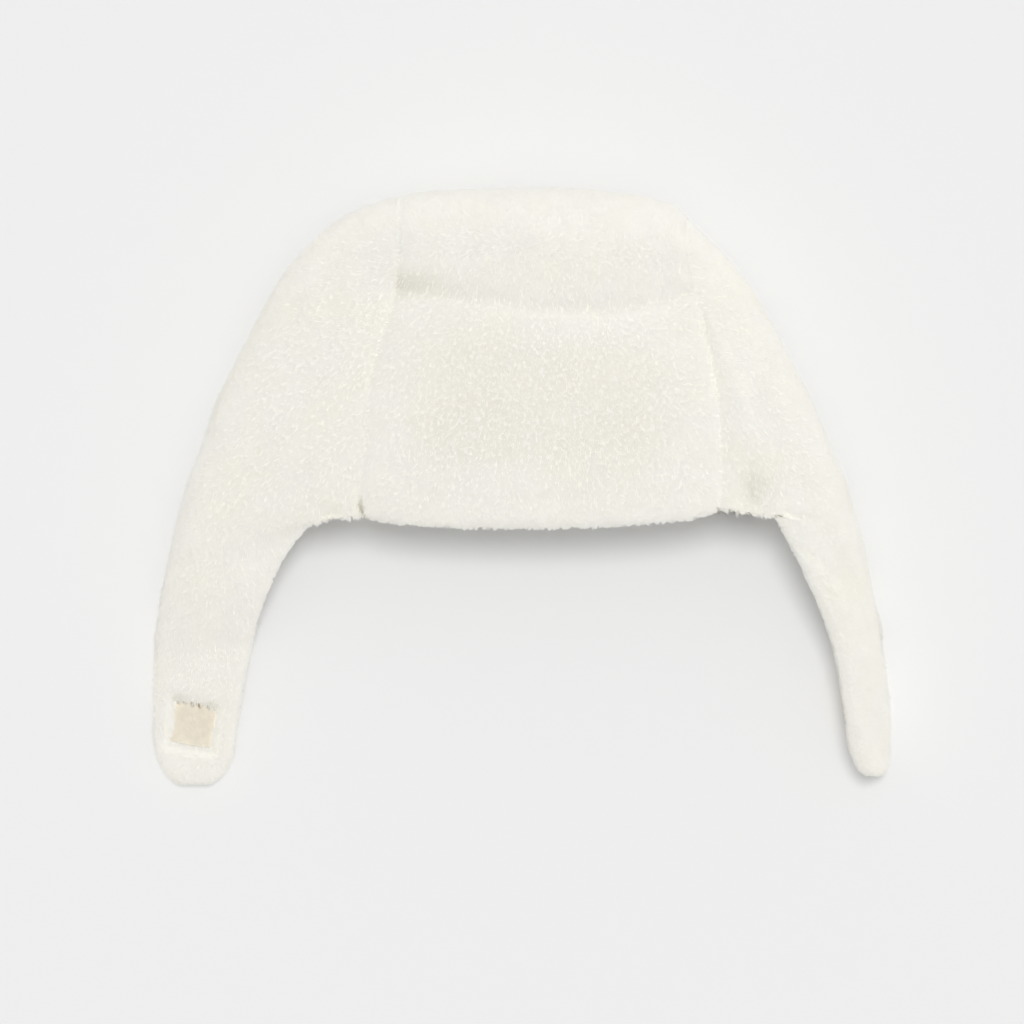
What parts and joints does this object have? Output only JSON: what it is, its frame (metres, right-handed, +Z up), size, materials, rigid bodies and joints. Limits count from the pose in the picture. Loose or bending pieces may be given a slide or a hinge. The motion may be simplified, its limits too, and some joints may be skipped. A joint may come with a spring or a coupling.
{
  "type": "baby hat",
  "caption": "Soft fur baby hat with a panelled crown and long ear flaps that close under the chin, lying on its back.",
  "frame": {"origin": "middle of the box round the hat, on the surface it lies on", "axes": "+Z up from the nape side, which lies down, to the brow side; +Y to the top of the crown; +X to the flap that stands on its edge"},
  "size_m": [0.3266, 0.2642, 0.0606],
  "materials": {
    "crown_fur": "dense short cream faux fur, matt",
    "side_fur": "dense short cream faux fur, matt",
    "loop_tape": "beige brushed loop tape",
    "hook_tape": "beige hook tape"
  },
  "bodies": {
    "root": {"crown_panel": "crown_fur", "left_side_panel": "side_fur", "right_side_panel": "side_fur", "loop_patch": "loop_tape", "hook_patch": "hook_tape"}
  },
  "joints": []
}
